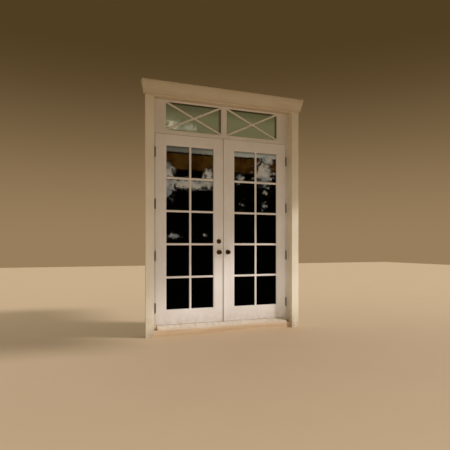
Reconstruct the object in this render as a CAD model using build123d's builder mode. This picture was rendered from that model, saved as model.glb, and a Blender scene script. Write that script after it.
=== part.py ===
from build123d import *
import os

# A pair of outward-opening glazed doors in their frame, in millimetres.
# The floor is z = 0, the middle of the doorway is x = 0, the outer faces of the closed
# leaves are y = 0 and the inside of the house lies towards +y.
# The left leaf is the active one. The right leaf carries the astragal.

# Leaves
leaf_width = 909.0
leaf_height = 2402.0
leaf_thickness = 44.5
leaf_gap = 3.0
meeting_offset = 12.0
hinge_stile_width = 144.6
lock_stile_width = 136.8
top_rail_height = 141.0
bottom_rail_height = 190.0
glass_columns = 2
glass_rows = 5

# Glazing
glass_recess = 14.0
rebate_width = 12.0
pane_thickness = 3.0
pane_cavity = 10.0
pane_edge_clearance = 3.0
spacer_width = 8.0
sticking_width = 8.0
sticking_depth = 9.0
sticking_quirk = 1.2
bar_width = 28.0
bar_projection = 10.0
bar_moulding = 8.0
bar_quirk = 1.5
bead_rounding = 5.0
arc_middle = 0.7071

# Sill and threshold
sill_height = 72.0
sill_ease = 4.0
threshold_height = 52.0
threshold_fall = 4.0
threshold_ease = 3.0
deck_reach = 74.0
deck_nose = 18.0
deck_end_gap = 24.0
upstand_width = 16.0

# Jambs, stops and transom
jamb_thickness = 38.0
jamb_depth = 115.0
stop_projection = 13.0
stop_clearance = 1.5
seal_thickness = 1.2
seal_width = 8.0
transom_bar_height = 57.0
transom_stile_width = 142.0
transom_mullion_width = 84.0
transom_glass_height = 349.0
transom_top_rail_height = 26.0
transom_pane_thickness = 6.0
cross_bar_width = 26.0
anchor_radius = 2.75
anchor_inset = 27.0
anchor_rise = 428.0
anchor_drop = 464.0

# Reveal boards, casing and crown
reveal_depth = 78.0
reveal_thickness = 19.0
reveal_setback = 32.0
head_reveal_drop = 7.0
casing_setback = 3.0
casing_width = 103.0
casing_thickness = 32.0
casing_ease = 2.0
head_casing_drop = 3.0
crown_rise = 23.0
crown_height = 157.0
crown_foot = 20.0
crown_reach = 50.0
crown_foot_height = 6.0
crown_band_height = 22.0
crown_band_step = 4.0

# Hinges
hinge_count = 4
hinge_height = 114.0
hinge_foot = 216.0
hinge_head = 233.9
hinge_axis_offset = 8.0
knuckle_count = 5
knuckle_radius = 6.5
knuckle_clearance = 0.3
plate_thickness = 2.5
plate_clearance = 0.4
plate_depth = 35.0
pin_radius = 3.5
pin_clearance = 0.05
pin_head_radius = 5.5
pin_head_height = 4.0

# Knobs, latch and deadbolt
lock_backset = 60.3
knob_height = 911.0
deadbolt_rise = 141.0
dummy_backset = 40.0
knob_radius = 27.0
knob_projection = 60.0
knob_neck_radius = 9.0
knob_neck_length = 18.0
knob_inset = 1.0
rose_radius = 31.0
rose_thickness = 7.0
turning_clearance = 0.3
cross_bore_radius = 27.0
spindle_width = 8.0
spindle_hole_radius = 6.2
case_radius = 12.7
case_length = 78.0
faceplate_width = 25.4
faceplate_height = 57.0
faceplate_thickness = 2.0
bolt_height = 16.0
latch_width = 12.0
latch_throw = 12.0
latch_bevel = 9.0
deadbolt_width = 14.0
deadbolt_throw = 25.0
bolt_length = 40.0
bolt_clearance = 0.3
cylinder_radius = 30.0
cylinder_projection = 20.0
cylinder_face_radius = 22.0
keyway_width = 2.4
keyway_height = 9.0
keyway_depth = 6.0
turn_shaft_radius = 6.0
turn_length = 34.0
turn_width = 8.0
turn_projection = 26.0
tail_width = 8.0
tail_thickness = 3.0

# Astragal, strikes and shoot bolts
astragal_gap = 3.5
astragal_cap_width = 28.5
astragal_cap_projection = 10.0
astragal_ease = 2.5
strike_thickness = 1.5
strike_clearance = 1.0
shoot_bolt_radius = 5.0
shoot_bolt_length = 180.0
shoot_bolt_throw = 15.0
shoot_bolt_clearance = 0.3
shoot_tab_width = 8.0
shoot_tab_height = 18.0
shoot_tab_offset = 120.0
shoot_keeper_depth = 16.0

# Levels
leaf_bottom = sill_height + threshold_height + leaf_gap
leaf_top = leaf_bottom + leaf_height
transom_bar_bottom = leaf_top + leaf_gap
transom_glass_bottom = transom_bar_bottom + transom_bar_height
transom_glass_top = transom_glass_bottom + transom_glass_height
head_jamb_bottom = transom_glass_top + transom_top_rail_height
head_jamb_top = head_jamb_bottom + jamb_thickness
head_reveal_bottom = head_jamb_bottom - head_reveal_drop
head_casing_bottom = head_reveal_bottom - head_casing_drop
crown_bottom = head_casing_bottom + crown_rise
crown_top = crown_bottom + crown_height
lock_height = leaf_bottom + knob_height
bolt_level = lock_height + deadbolt_rise

# Distances from the middle of the doorway
hinge_edge = meeting_offset + leaf_width
jamb_face = hinge_edge + leaf_gap
jamb_back = jamb_face + jamb_thickness
stop_face = jamb_face - stop_projection
reveal_face = jamb_face + reveal_setback
reveal_back = reveal_face + reveal_thickness
casing_inner = reveal_face + casing_setback
casing_outer = casing_inner + casing_width
glass_inner = meeting_offset + lock_stile_width
glass_outer = hinge_edge - hinge_stile_width
hinge_axis = hinge_edge + leaf_gap / 2
astragal_face = astragal_gap - meeting_offset
astragal_middle = (astragal_face + meeting_offset) / 2
lock_axis = -(meeting_offset + lock_backset)
dummy_axis = meeting_offset + dummy_backset

# Depths from the outer face of the leaves
stop_front = leaf_thickness + stop_clearance
leaf_middle = leaf_thickness / 2
unit_back = glass_recess + 2 * pane_thickness + pane_cavity
transom_pane_back = glass_recess + transom_pane_thickness
casing_front = -(reveal_depth + casing_thickness)
hinge_depth = -hinge_axis_offset

glass_bottom = leaf_bottom + bottom_rail_height
glass_top = leaf_top - top_rail_height
hinge_spacing = (leaf_height - hinge_foot - hinge_head) / (hinge_count - 1)
hinge_levels = [leaf_bottom + hinge_foot + hinge_spacing * i for i in range(hinge_count)]
anchor_levels = (sill_height + anchor_rise, head_jamb_bottom - anchor_drop)
sides = {"left": -1, "right": 1}

os.makedirs("parts", exist_ok=True)


def keep(piece, name):
    """Label a finished sub-part and write it."""
    piece.part.label = name
    export_step(piece.part, f"parts/{name}.step")


def block(x, y, z, mode=Mode.ADD):
    """Square-edged piece between two limits on each axis."""
    (x0, x1), (y0, y1), (z0, z1) = sorted(x), sorted(y), sorted(z)
    with Locations(((x0 + x1) / 2, (y0 + y1) / 2, (z0 + z1) / 2)):
        Box(x1 - x0, y1 - y0, z1 - z0, mode=mode)


def bore(centre, radius, length, turn, mode=Mode.SUBTRACT):
    """Round piece or hole about its centre, turned from upright by the angles given."""
    with Locations(Location(centre, turn)):
        Cylinder(radius, length, mode=mode)


along_x = (0, 90, 0)
along_y = (90, 0, 0)
upright = (0, 0, 0)


def opening_cutter(x, z, depth):
    """What one glazed opening takes away: daylight, moulded front edge and glazing rebate."""
    (x0, x1), (z0, z1) = sorted(x), sorted(z)
    over = 1.0
    start = ((x0 + x1) / 2, 0, z0)
    arc_x = sticking_width * (1 - arc_middle)
    arc_y = sticking_depth - (sticking_depth - sticking_quirk) * arc_middle
    with BuildPart() as cutter:
        with BuildLine() as path:
            Polyline(start, (x1, 0, z0), (x1, 0, z1), (x0, 0, z1), (x0, 0, z0), start)
        with BuildSketch(Plane(origin=start, x_dir=(0, 0, -1), z_dir=(1, 0, 0))):
            with BuildLine():
                Polyline((0, sticking_depth), (-over, sticking_depth), (-over, -over),
                         (sticking_width, -over), (sticking_width, sticking_quirk))
                ThreePointArc((sticking_width, sticking_quirk), (arc_x, arc_y),
                              (0, sticking_depth))
            make_face()
        sweep(path=path.wire(), transition=Transition.RIGHT)
        block((x0, x1), (-over, depth), (z0, z1))
        block((x0 - rebate_width, x1 + rebate_width), (glass_recess, depth),
              (z0 - rebate_width, z1 + rebate_width))
    return cutter.part


def moulded_bar(start, direction, length, width, seat, face):
    """Glazing bar with moulded edges, seated on the glass at y = seat."""
    half = width / 2
    flat = half - bar_moulding
    out = 1 if face > seat else -1
    lip = seat + out * bar_quirk
    arc_x = flat + bar_moulding * arc_middle
    arc_y = lip + (face - lip) * arc_middle
    across = Vector(0, 1, 0).cross(Vector(*direction))
    with BuildPart() as bar:
        with BuildSketch(Plane(origin=start, x_dir=across, z_dir=direction)):
            with BuildLine():
                Line((-flat, face), (flat, face))
                ThreePointArc((flat, face), (arc_x, arc_y), (half, lip))
                Polyline((half, lip), (half, seat), (-half, seat), (-half, lip))
                ThreePointArc((-half, lip), (-arc_x, arc_y), (-flat, face))
            make_face()
        extrude(amount=length)
    return bar.part


def bead_ring(x, z, seat, back):
    """Bead frame that holds the glass in its rebate, rounded on its inner edge."""
    (x0, x1), (z0, z1) = sorted(x), sorted(z)
    with BuildPart() as ring:
        block((x0 - rebate_width, x1 + rebate_width), (seat, back),
              (z0 - rebate_width, z1 + rebate_width))
        block((x0, x1), (seat, back), (z0, z1), Mode.SUBTRACT)
        inner = ring.edges().group_by(Axis.Y)[-1].filter_by_position(Axis.X, x0, x1)
        fillet(inner.filter_by_position(Axis.Z, z0, z1), radius=bead_rounding)
    return ring.part


def leaf_grille(x, z, seat, face, reach):
    """Bars that divide one leaf's glass into its columns and rows."""
    (x0, x1), (z0, z1) = sorted(x), sorted(z)
    column = (x1 - x0 - (glass_columns - 1) * bar_width) / glass_columns
    row = (z1 - z0 - (glass_rows - 1) * bar_width) / glass_rows
    bars = []
    for i in range(1, glass_columns):
        middle = x0 + i * (column + bar_width) - bar_width / 2
        bars.append(moulded_bar((middle, 0, z0 - reach), (0, 0, 1), z1 - z0 + 2 * reach,
                                bar_width, seat, face))
    for i in range(1, glass_rows):
        middle = z0 + i * (row + bar_width) - bar_width / 2
        bars.append(moulded_bar((x0 - reach, 0, middle), (1, 0, 0), x1 - x0 + 2 * reach,
                                bar_width, seat, face))
    return bars


def crossed_bars(x, z, seat, face, reach):
    """Two bars from corner to corner of a transom light."""
    (x0, x1), (z0, z1) = sorted(x), sorted(z)
    centre = Vector((x0 + x1) / 2, 0, (z0 + z1) / 2)
    limit_x = (x0 - reach, x1 + reach)
    limit_z = (z0 - reach, z1 + reach)
    bars = []
    for rise in (z1 - z0, z0 - z1):
        way = Vector(x1 - x0, 0, rise).normalized()
        length = Vector(x1 - x0, 0, rise).length + 4 * reach
        begin = centre - way * (length / 2)
        bar = moulded_bar(tuple(begin), tuple(way), length, cross_bar_width, seat, face)
        with BuildPart() as trimmed:
            add(bar)
            block(limit_x, (min(seat, face), max(seat, face)), limit_z, Mode.INTERSECT)
        bars.append(trimmed.part)
    return bars


def hinge_mortises(side, inner, outer):
    """Pockets for the four hinge plates of one leaf."""
    for level in hinge_levels:
        block((side * inner, side * outer), (0, plate_depth),
              (level - hinge_height / 2, level + hinge_height / 2), Mode.SUBTRACT)


leaf_plate = (hinge_axis - plate_clearance / 2 - plate_thickness, hinge_axis - plate_clearance / 2)
jamb_plate = (hinge_axis + plate_clearance / 2, hinge_axis + plate_clearance / 2 + plate_thickness)

# Stone sill
with BuildPart() as stone_sill:
    block((-reveal_back, reveal_back), (-reveal_depth, jamb_depth), (0, sill_height))
    top_edges = stone_sill.edges().group_by(Axis.Z)[-1]
    fillet(top_edges.sort_by(Axis.Y)[0], radius=sill_ease)
keep(stone_sill, "stone_sill")

# Rabbeted side jambs
jambs = {}
for name, side in sides.items():
    with BuildPart() as jamb:
        with BuildSketch(Plane.XY.offset(sill_height)):
            with BuildLine():
                Polyline((side * jamb_back, 0), (side * jamb_back, jamb_depth),
                         (side * stop_face, jamb_depth), (side * stop_face, stop_front),
                         (side * jamb_face, stop_front), (side * jamb_face, 0), close=True)
            make_face()
        extrude(amount=head_jamb_bottom - sill_height)
        hinge_mortises(side, jamb_face, jamb_plate[1])
        for level in anchor_levels:
            bore((side * (stop_face + jamb_back) / 2, jamb_depth - anchor_inset, level),
                 anchor_radius, jamb_back - stop_face, along_x)
    keep(jamb, f"{name}_jamb")
    jambs[name] = jamb.part

with BuildPart() as head_jamb:
    block((-jamb_back, jamb_back), (0, jamb_depth), (head_jamb_bottom, head_jamb_top))
keep(head_jamb, "head_jamb")

# Threshold: a bar with an upstand behind the leaves and a sloping deck that stops short of the
# reveal boards
threshold_top = sill_height + threshold_height
deck_end = jamb_face - deck_end_gap
with BuildPart() as threshold:
    with BuildSketch(Plane.YZ.offset(-jamb_face)):
        with BuildLine():
            Polyline((0, sill_height), (0, threshold_top), (stop_front, threshold_top),
                     (stop_front, leaf_bottom + stop_projection),
                     (stop_front + upstand_width, leaf_bottom + stop_projection),
                     (stop_front + upstand_width, threshold_top),
                     (jamb_depth, threshold_top - threshold_fall),
                     (jamb_depth, sill_height), close=True)
        make_face()
    extrude(amount=2 * jamb_face)
    fillet(threshold.edges().filter_by(Axis.X).group_by(Axis.Z)[-1], radius=threshold_ease)
    with BuildSketch(Plane.YZ.offset(-deck_end)):
        with BuildLine():
            Polyline((0, sill_height), (-deck_reach, sill_height),
                     (-deck_reach, sill_height + deck_nose), (0, threshold_top), close=True)
        make_face()
    extrude(amount=2 * deck_end)
    deck_edge = threshold.edges().filter_by(Axis.X).group_by(Axis.Y)[0].sort_by(Axis.Z)[-1]
    fillet(deck_edge, radius=threshold_ease)
    for jamb in jambs.values():
        add(jamb, mode=Mode.SUBTRACT)
    bore((astragal_middle, leaf_middle, threshold_top - shoot_keeper_depth / 2),
         shoot_bolt_radius + strike_clearance, shoot_keeper_depth, upright)
keep(threshold, "threshold")

# Transom openings, one each side of the mullion
transom_x = (transom_mullion_width / 2, jamb_face - transom_stile_width)
transom_z = (transom_glass_bottom, transom_glass_top)
transom_openings = {name: (side * transom_x[0], side * transom_x[1]) for name, side in sides.items()}
transom_cutters = [opening_cutter(x, transom_z, jamb_depth) for x in transom_openings.values()]

with BuildPart() as transom_bar:
    with BuildSketch(Plane.YZ.offset(-jamb_face)):
        with BuildLine():
            Polyline((0, transom_bar_bottom), (stop_front, transom_bar_bottom),
                     (stop_front, leaf_top - stop_projection),
                     (jamb_depth, leaf_top - stop_projection),
                     (jamb_depth, transom_glass_bottom), (0, transom_glass_bottom), close=True)
        make_face()
    extrude(amount=2 * jamb_face)
    for piece in [*jambs.values(), *transom_cutters]:
        add(piece, mode=Mode.SUBTRACT)
    bore((astragal_middle, leaf_middle, transom_bar_bottom + shoot_keeper_depth / 2),
         shoot_bolt_radius + strike_clearance, shoot_keeper_depth, upright)
keep(transom_bar, "transom_bar")

transom_boards = [transom_bar.part]
for name, side in sides.items():
    with BuildPart() as transom_stile:
        block((side * transom_x[1], side * jamb_face), (0, stop_front),
              (transom_glass_bottom, head_jamb_bottom))
        for cutter in transom_cutters:
            add(cutter, mode=Mode.SUBTRACT)
    keep(transom_stile, f"transom_{name}_stile")
    transom_boards.append(transom_stile.part)

with BuildPart() as transom_mullion:
    block((-transom_x[0], transom_x[0]), (0, stop_front), transom_z)
    for cutter in transom_cutters:
        add(cutter, mode=Mode.SUBTRACT)
keep(transom_mullion, "transom_mullion")
transom_boards.append(transom_mullion.part)

with BuildPart() as transom_top_rail:
    block((-transom_x[1], transom_x[1]), (0, stop_front), (transom_glass_top, head_jamb_bottom))
    for cutter in transom_cutters:
        add(cutter, mode=Mode.SUBTRACT)
keep(transom_top_rail, "transom_top_rail")
transom_boards.append(transom_top_rail.part)

# Transom glass, its crossed bars outside and its beads inside
pane_margin = rebate_width - pane_edge_clearance
bead_parts = []
for name, opening in transom_openings.items():
    x0, x1 = sorted(opening)
    with BuildPart() as transom_pane:
        block((x0 - pane_margin, x1 + pane_margin), (glass_recess, transom_pane_back),
              (transom_z[0] - pane_margin, transom_z[1] + pane_margin))
    keep(transom_pane, f"{name}_transom_pane")
    outer_cross = crossed_bars(opening, transom_z, glass_recess, glass_recess - bar_projection,
                               sticking_width)
    with BuildPart() as transom_bars:
        for bar in outer_cross:
            add(bar)
        for board in transom_boards:
            add(board, mode=Mode.SUBTRACT)
    keep(transom_bars, f"{name}_transom_bars")
    bead_parts.append(bead_ring(opening, transom_z, transom_pane_back, stop_front))
    bead_parts += crossed_bars(opening, transom_z, transom_pane_back,
                               transom_pane_back + bar_projection, 0)
with BuildPart() as transom_beads:
    for bead in bead_parts:
        add(bead)
keep(transom_beads, "transom_beads")

# Compression seals on the stops and the upstand
seal_front = stop_front - seal_thickness
seal_inset = (stop_projection - leaf_gap - seal_width) / 2
side_seal = (stop_face + seal_inset, stop_face + seal_inset + seal_width)
head_seal_bottom = leaf_top - stop_projection + seal_inset
foot_seal_bottom = leaf_bottom + stop_projection - seal_inset - seal_width
with BuildPart() as frame_seals:
    for side in sides.values():
        block((side * side_seal[0], side * side_seal[1]), (seal_front, stop_front),
              (foot_seal_bottom + seal_width, head_seal_bottom))
    block((-side_seal[1], side_seal[1]), (seal_front, stop_front),
          (head_seal_bottom, head_seal_bottom + seal_width))
    block((-side_seal[1], side_seal[1]), (seal_front, stop_front),
          (foot_seal_bottom, foot_seal_bottom + seal_width))
keep(frame_seals, "frame_seals")

# Reveal boards from the casing back to the jambs
for name, side in sides.items():
    with BuildPart() as reveal_board:
        block((side * reveal_face, side * reveal_back), (-reveal_depth, 0),
              (sill_height, head_reveal_bottom))
    keep(reveal_board, f"{name}_reveal_board")

with BuildPart() as head_reveal_board:
    block((-reveal_back, reveal_back), (-reveal_depth, 0),
          (head_reveal_bottom, head_reveal_bottom + reveal_thickness))
keep(head_reveal_board, "head_reveal_board")

# Casing legs and the head board that the crown is planted on
for name, side in sides.items():
    with BuildPart() as casing:
        block((side * casing_inner, side * casing_outer), (casing_front, -reveal_depth),
              (0, head_casing_bottom))
        front_edges = casing.edges().filter_by(Axis.Z).group_by(Axis.Y)[0]
        fillet(front_edges, radius=casing_ease)
    keep(casing, f"{name}_casing")

with BuildPart() as head_casing:
    block((-casing_outer, casing_outer), (casing_front, -reveal_depth), (head_casing_bottom, crown_top))
    front_edges = head_casing.edges().filter_by(Axis.X).group_by(Axis.Y)[0]
    fillet(front_edges.sort_by(Axis.Z)[0], radius=casing_ease)
keep(head_casing, "head_casing")

# Crown with mitred returns, in section a foot, a cove, an ovolo and a square band
band_bottom = crown_height - crown_band_height
face_foot = (-crown_foot - 1, crown_foot_height)
face_head = (-crown_reach + crown_band_step, band_bottom)
face_middle = ((face_foot[0] + face_head[0]) / 2, (face_foot[1] + face_head[1]) / 2)
cove = ((face_foot[0] + face_middle[0]) / 2 + 2, (face_foot[1] + face_middle[1]) / 2)
ovolo = ((face_middle[0] + face_head[0]) / 2 - 2, (face_middle[1] + face_head[1]) / 2)
crown_start = (-casing_outer, -reveal_depth, crown_bottom)
with BuildPart() as crown:
    with BuildLine() as crown_path:
        Polyline(crown_start, (-casing_outer, casing_front, crown_bottom),
                 (casing_outer, casing_front, crown_bottom), (casing_outer, -reveal_depth, crown_bottom))
    with BuildSketch(Plane(origin=crown_start, x_dir=(1, 0, 0), z_dir=(0, -1, 0))):
        with BuildLine():
            Polyline((0, 0), (-crown_foot, 0), (-crown_foot, crown_foot_height), face_foot)
            ThreePointArc(face_foot, cove, face_middle)
            ThreePointArc(face_middle, ovolo, face_head)
            Polyline(face_head, (-crown_reach, band_bottom), (-crown_reach, crown_height),
                     (0, crown_height), (0, 0))
        make_face()
    sweep(path=crown_path.wire(), transition=Transition.RIGHT)
keep(crown, "crown")

# Hinges: frame plates carry the odd knuckles and leaf plates the even ones
knuckle_pitch = hinge_height / knuckle_count


def hinge_plates(side, plate, first):
    """One leaf's four hinge halves, each with every second knuckle from the one named first."""
    with BuildPart() as plates:
        for level in hinge_levels:
            foot = level - hinge_height / 2
            block((side * plate[0], side * plate[1]), (0, plate_depth), (foot, foot + hinge_height))
            for i in range(first, knuckle_count, 2):
                low = foot + i * knuckle_pitch + knuckle_clearance / 2
                high = low + knuckle_pitch - knuckle_clearance
                block((side * plate[0], side * plate[1]), (hinge_depth, 0), (low, high))
                bore((side * hinge_axis, hinge_depth, (low + high) / 2), knuckle_radius,
                     high - low, upright, Mode.ADD)
            bore((side * hinge_axis, hinge_depth, level), pin_radius + pin_clearance,
                 hinge_height, upright)
    return plates


for name, side in sides.items():
    keep(hinge_plates(side, jamb_plate, 0), f"{name}_jamb_hinge_plates")
    keep(hinge_plates(side, leaf_plate, 1), f"{name}_leaf_hinge_plates")

with BuildPart() as hinge_pins:
    for side in sides.values():
        for level in hinge_levels:
            bore((side * hinge_axis, hinge_depth, level), pin_radius, hinge_height, upright, Mode.ADD)
            for end in (-1, 1):
                head_level = level + end * (hinge_height + pin_head_height) / 2
                bore((side * hinge_axis, hinge_depth, head_level), pin_head_radius,
                     pin_head_height, upright, Mode.ADD)
keep(hinge_pins, "hinge_pins")

# Leaf boards, glass, bars and beads
glass_z = (glass_bottom, glass_top)
lock_stiles = {}
for name, side in sides.items():
    opening = (side * glass_inner, side * glass_outer)
    x0, x1 = sorted(opening)
    cutter = opening_cutter(opening, glass_z, leaf_thickness)

    with BuildPart() as hinge_stile:
        block((side * glass_outer, side * hinge_edge), (0, leaf_thickness), (leaf_bottom, leaf_top))
        hinge_mortises(side, leaf_plate[0], hinge_edge)
        add(cutter, mode=Mode.SUBTRACT)
    keep(hinge_stile, f"{name}_hinge_stile")

    with BuildPart() as lock_stile:
        block((side * meeting_offset, side * glass_inner), (0, leaf_thickness), (leaf_bottom, leaf_top))
        add(cutter, mode=Mode.SUBTRACT)
        if name == "left":
            for level in (lock_height, bolt_level):
                bore((lock_axis, leaf_middle, level), cross_bore_radius, leaf_thickness, along_y)
                bore((-meeting_offset - case_length / 2, leaf_middle, level), case_radius,
                     case_length, along_x)
                block((-meeting_offset, -meeting_offset - faceplate_thickness),
                      (leaf_middle - faceplate_width / 2, leaf_middle + faceplate_width / 2),
                      (level - faceplate_height / 2, level + faceplate_height / 2), Mode.SUBTRACT)
        else:
            pocket_depth = deadbolt_throw - 2 * meeting_offset + strike_clearance
            block((meeting_offset, meeting_offset + pocket_depth),
                  (leaf_middle - deadbolt_width / 2 - strike_clearance,
                   leaf_middle + deadbolt_width / 2 + strike_clearance),
                  (bolt_level - bolt_height / 2 - strike_clearance,
                   bolt_level + bolt_height / 2 + strike_clearance), Mode.SUBTRACT)
    keep(lock_stile, f"{name}_lock_stile")

    with BuildPart() as top_rail:
        block(opening, (0, leaf_thickness), (glass_top, leaf_top))
        add(cutter, mode=Mode.SUBTRACT)
    keep(top_rail, f"{name}_top_rail")

    with BuildPart() as bottom_rail:
        block(opening, (0, leaf_thickness), (leaf_bottom, glass_bottom))
        add(cutter, mode=Mode.SUBTRACT)
    keep(bottom_rail, f"{name}_bottom_rail")

    pane_x = (x0 - pane_margin, x1 + pane_margin)
    pane_z = (glass_bottom - pane_margin, glass_top + pane_margin)
    with BuildPart() as glass_panes:
        block(pane_x, (glass_recess, glass_recess + pane_thickness), pane_z)
        block(pane_x, (unit_back - pane_thickness, unit_back), pane_z)
    keep(glass_panes, f"{name}_glass_panes")

    with BuildPart() as glass_spacer:
        spacer_y = (glass_recess + pane_thickness, unit_back - pane_thickness)
        block(pane_x, spacer_y, pane_z)
        block((pane_x[0] + spacer_width, pane_x[1] - spacer_width), spacer_y,
              (pane_z[0] + spacer_width, pane_z[1] - spacer_width), Mode.SUBTRACT)
    keep(glass_spacer, f"{name}_glass_spacer")

    outer_grille = leaf_grille(opening, glass_z, glass_recess, glass_recess - bar_projection,
                               sticking_width)
    boards = [hinge_stile.part, lock_stile.part, top_rail.part, bottom_rail.part]
    with BuildPart() as outer_bars:
        for bar in outer_grille:
            add(bar)
        for board in boards:
            add(board, mode=Mode.SUBTRACT)
    keep(outer_bars, f"{name}_outer_bars")

    inner_ring = bead_ring(opening, glass_z, unit_back, leaf_thickness)
    inner_grille = leaf_grille(opening, glass_z, unit_back, unit_back + bar_projection, 0)
    with BuildPart() as inner_bars:
        add(inner_ring)
        for bar in inner_grille:
            add(bar)
    keep(inner_bars, f"{name}_inner_bars")


def round_profile_plane(x, face, z, out):
    """Plane whose first axis is a radius and whose second runs out from the leaf's face."""
    return Plane(origin=(x, face, z), x_dir=(1, 0, 0), z_dir=(0, 0, out))


def turned_rose(x, z, face, out, hole):
    """Round backplate with a rolled edge."""
    with BuildPart() as rose:
        with BuildSketch(round_profile_plane(x, face, z, out)):
            with BuildLine():
                Polyline((rose_radius - 5, rose_thickness - 1), (hole + 3, rose_thickness),
                         (hole, rose_thickness), (hole, 0), (rose_radius, 0), (rose_radius, 2))
                ThreePointArc((rose_radius, 2), (rose_radius - 1.5, rose_thickness - 2.4),
                              (rose_radius - 5, rose_thickness - 1))
            make_face()
        revolve(axis=Axis((x, face, z), (0, 1, 0)))
    return rose.part


def turned_knob(x, z, face, out, inset):
    """Round knob on its neck, from just inside the rose to its crown."""
    belly = knob_neck_length + (knob_projection - knob_neck_length) * 0.57
    with BuildPart() as knob:
        with BuildSketch(round_profile_plane(x, face, z, out)):
            with BuildLine():
                Polyline((0, knob_projection), (0, inset), (knob_neck_radius, inset),
                         (knob_neck_radius, knob_neck_length))
                Spline((knob_neck_radius, knob_neck_length),
                       (knob_radius * 0.83, knob_neck_length + (belly - knob_neck_length) * 0.4),
                       (knob_radius, belly),
                       (knob_radius * 0.74, knob_projection - (knob_projection - belly) * 0.28),
                       (0, knob_projection), tangents=((1, 0.3), (-1, 0)))
            make_face()
        revolve(axis=Axis((x, face, z), (0, 1, 0)))
    return knob.part


# Knob set of the active leaf: roses, outer knob with its spindle and inner knob
faces = {"outer": (0, -1), "inner": (leaf_thickness, 1)}
rose_hole = knob_neck_radius + turning_clearance
rose_parts = [turned_rose(lock_axis, lock_height, face, out, rose_hole) for face, out in faces.values()]
with BuildPart() as knob_roses:
    for rose in rose_parts:
        add(rose)
keep(knob_roses, "knob_roses")

outer_turning = turned_knob(lock_axis, lock_height, *faces["outer"], knob_inset)
with BuildPart() as outer_knob:
    add(outer_turning)
    block((lock_axis - spindle_width / 2, lock_axis + spindle_width / 2),
          (-knob_inset, leaf_thickness + knob_inset),
          (lock_height - spindle_width / 2, lock_height + spindle_width / 2))
keep(outer_knob, "outer_knob")

inner_turning = turned_knob(lock_axis, lock_height, *faces["inner"], knob_inset)
with BuildPart() as inner_knob:
    add(inner_turning)
keep(inner_knob, "inner_knob")

# Fixed knobs of the passive leaf, each with its rose in one piece
for place, (face, out) in faces.items():
    dummy_turning = turned_knob(dummy_axis, lock_height, face, out, 0)
    dummy_rose = turned_rose(dummy_axis, lock_height, face, out, knob_neck_radius)
    with BuildPart() as dummy_knob:
        add(dummy_turning)
        add(dummy_rose)
    keep(dummy_knob, f"{place}_dummy_knob")


def bolt_case(level, width):
    """Tubular case with its faceplate, a slot for the bolt and a hole for the turning bar."""
    front = -meeting_offset - faceplate_thickness
    back = -meeting_offset - case_length
    slot_back = -meeting_offset - bolt_length - 2
    with BuildPart() as case:
        bore(((front + back) / 2, leaf_middle, level), case_radius, front - back, along_x, Mode.ADD)
        block((-meeting_offset, front),
              (leaf_middle - faceplate_width / 2, leaf_middle + faceplate_width / 2),
              (level - faceplate_height / 2, level + faceplate_height / 2))
        block((-meeting_offset, slot_back),
              (leaf_middle - width / 2 - bolt_clearance, leaf_middle + width / 2 + bolt_clearance),
              (level - bolt_height / 2 - bolt_clearance, level + bolt_height / 2 + bolt_clearance),
              Mode.SUBTRACT)
        bore((lock_axis, leaf_middle, level), spindle_hole_radius, 2 * case_radius, along_y)
    return case


keep(bolt_case(lock_height, latch_width), "latch_case")
keep(bolt_case(bolt_level, deadbolt_width), "deadbolt_case")

with BuildPart() as latch_bolt:
    block((-meeting_offset, -meeting_offset - bolt_length),
          (leaf_middle - latch_width / 2, leaf_middle + latch_width / 2),
          (lock_height - bolt_height / 2, lock_height + bolt_height / 2))
    nose_edges = latch_bolt.edges().filter_by(Axis.Z).group_by(Axis.X)[-1]
    chamfer(nose_edges.sort_by(Axis.Y)[-1], length=latch_bevel)
keep(latch_bolt, "latch_bolt")

with BuildPart() as dead_bolt:
    block((-meeting_offset, -meeting_offset - bolt_length),
          (leaf_middle - deadbolt_width / 2, leaf_middle + deadbolt_width / 2),
          (bolt_level - bolt_height / 2, bolt_level + bolt_height / 2))
    nose_edges = dead_bolt.faces().sort_by(Axis.X)[-1].edges()
    chamfer(nose_edges, length=1)
keep(dead_bolt, "dead_bolt")

# Outer key cylinder, inner plate and thumb turn of the deadbolt
with BuildPart() as deadbolt_cylinder:
    with BuildSketch(round_profile_plane(lock_axis, 0, bolt_level, -1)):
        with BuildLine():
            Polyline((0, 0), (cylinder_radius, 0), (cylinder_radius, 3),
                     (cylinder_face_radius, cylinder_projection), (0, cylinder_projection), close=True)
        make_face()
    revolve(axis=Axis((lock_axis, 0, bolt_level), (0, 1, 0)))
    rim = deadbolt_cylinder.edges().group_by(Axis.Y)[0]
    fillet(rim, radius=2)
    block((lock_axis - keyway_width / 2, lock_axis + keyway_width / 2),
          (-cylinder_projection, -cylinder_projection + keyway_depth),
          (bolt_level - keyway_height / 2, bolt_level + keyway_height / 2), Mode.SUBTRACT)
keep(deadbolt_cylinder, "deadbolt_cylinder")

inner_plate_turning = turned_rose(lock_axis, bolt_level, leaf_thickness, 1,
                                  turn_shaft_radius + turning_clearance)
with BuildPart() as deadbolt_inner_plate:
    add(inner_plate_turning)
keep(deadbolt_inner_plate, "deadbolt_inner_plate")

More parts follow.
